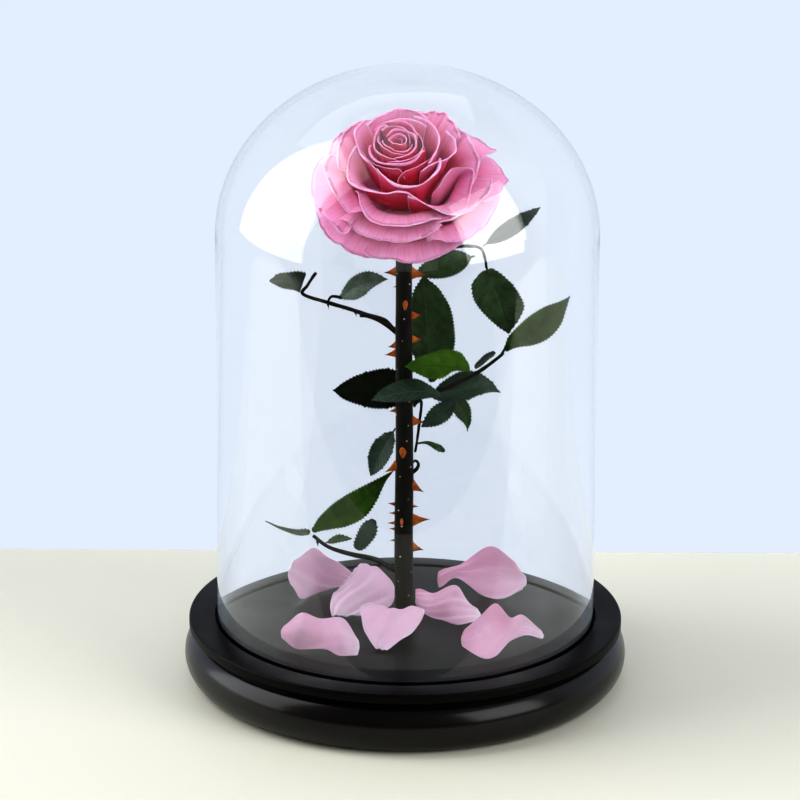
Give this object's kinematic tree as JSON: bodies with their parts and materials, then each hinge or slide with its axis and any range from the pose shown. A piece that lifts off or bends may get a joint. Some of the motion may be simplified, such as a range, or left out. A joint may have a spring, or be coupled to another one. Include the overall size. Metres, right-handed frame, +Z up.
{
  "type": "preserved rose in glass dome",
  "caption": "Preserved pink rose with thorny stem, leaves and fallen petals, standing on a turned dark wooden base under a clear glass dome; a tabletop ornament.",
  "frame": {"origin": "centre of the wooden base's flat underside", "axes": "+Z up through the top of the dome; -Y is the front, which the bloom nods towards; +X is to the right seen from the front"},
  "size_m": [0.22, 0.22, 0.3131],
  "materials": {
    "dark_wood": "satin, near black brown",
    "clear_glass": "polished, colourless",
    "stem_bark": "dull dark green to brown, with small pale dots",
    "pink_petal": "soft matt pink, deeper in the hollows, paler at the rims",
    "pale_petal": "soft matt pale pink",
    "leaf_green": "dark green, slightly glossy, with veins"
  },
  "bodies": {
    "root": {"base": "dark_wood", "glass_dome": "clear_glass", "stem": "stem_bark", "rose_heart": "pink_petal", "petal_inner_front": "pink_petal", "petal_inner_right": "pink_petal", "petal_inner_back_right": "pink_petal", "petal_inner_back_left": "pink_petal", "petal_inner_left": "pink_petal", "petal_middle_front_left": "pink_petal", "petal_middle_front_right": "pink_petal", "petal_middle_right": "pink_petal", "petal_middle_back_right": "pink_petal", "petal_middle_back": "pink_petal", "petal_middle_back_left": "pink_petal", "petal_outer_front": "pink_petal", "petal_outer_front_left": "pink_petal", "petal_outer_front_right": "pink_petal", "petal_outer_right": "pink_petal", "petal_outer_back": "pink_petal", "petal_outer_back_left": "pink_petal", "petal_lower_front": "pink_petal", "petal_lower_front_right": "pink_petal", "petal_lower_right": "pink_petal", "petal_lower_back": "pink_petal", "petal_lower_left": "pink_petal", "petal_lowest_front": "pink_petal", "petal_lowest_front_left": "pink_petal", "twig_upper_left": "stem_bark", "twig_upper_right": "stem_bark", "twig_middle_right": "stem_bark", "twig_lower_left": "stem_bark", "twig_middle_down": "stem_bark", "leaf_far_left": "leaf_green", "leaf_upper_left": "leaf_green", "leaf_back_upper": "leaf_green", "leaf_behind_bloom": "leaf_green", "leaf_upper_far_right": "leaf_green", "leaf_upper_right": "leaf_green", "leaf_far_right": "leaf_green", "leaf_front_middle": "leaf_green", "leaf_small_right": "leaf_green", "leaf_front_across": "leaf_green", "leaf_back_left": "leaf_green", "leaf_lower_right": "leaf_green", "leaf_under_right_near": "leaf_green", "leaf_under_right_far": "leaf_green", "leaf_small_spoon": "leaf_green", "leaf_middle_left": "leaf_green", "leaf_lower_left": "leaf_green", "leaf_low_far_left": "leaf_green", "leaf_low_small": "leaf_green", "leaf_low_round": "leaf_green", "fallen_petal_back_left": "pale_petal", "fallen_petal_behind_stem": "pale_petal", "fallen_petal_front": "pale_petal", "fallen_petal_right_of_stem": "pale_petal", "fallen_petal_back_right": "pale_petal", "fallen_petal_front_left": "pale_petal", "fallen_petal_front_right": "pale_petal"}
  },
  "joints": []
}
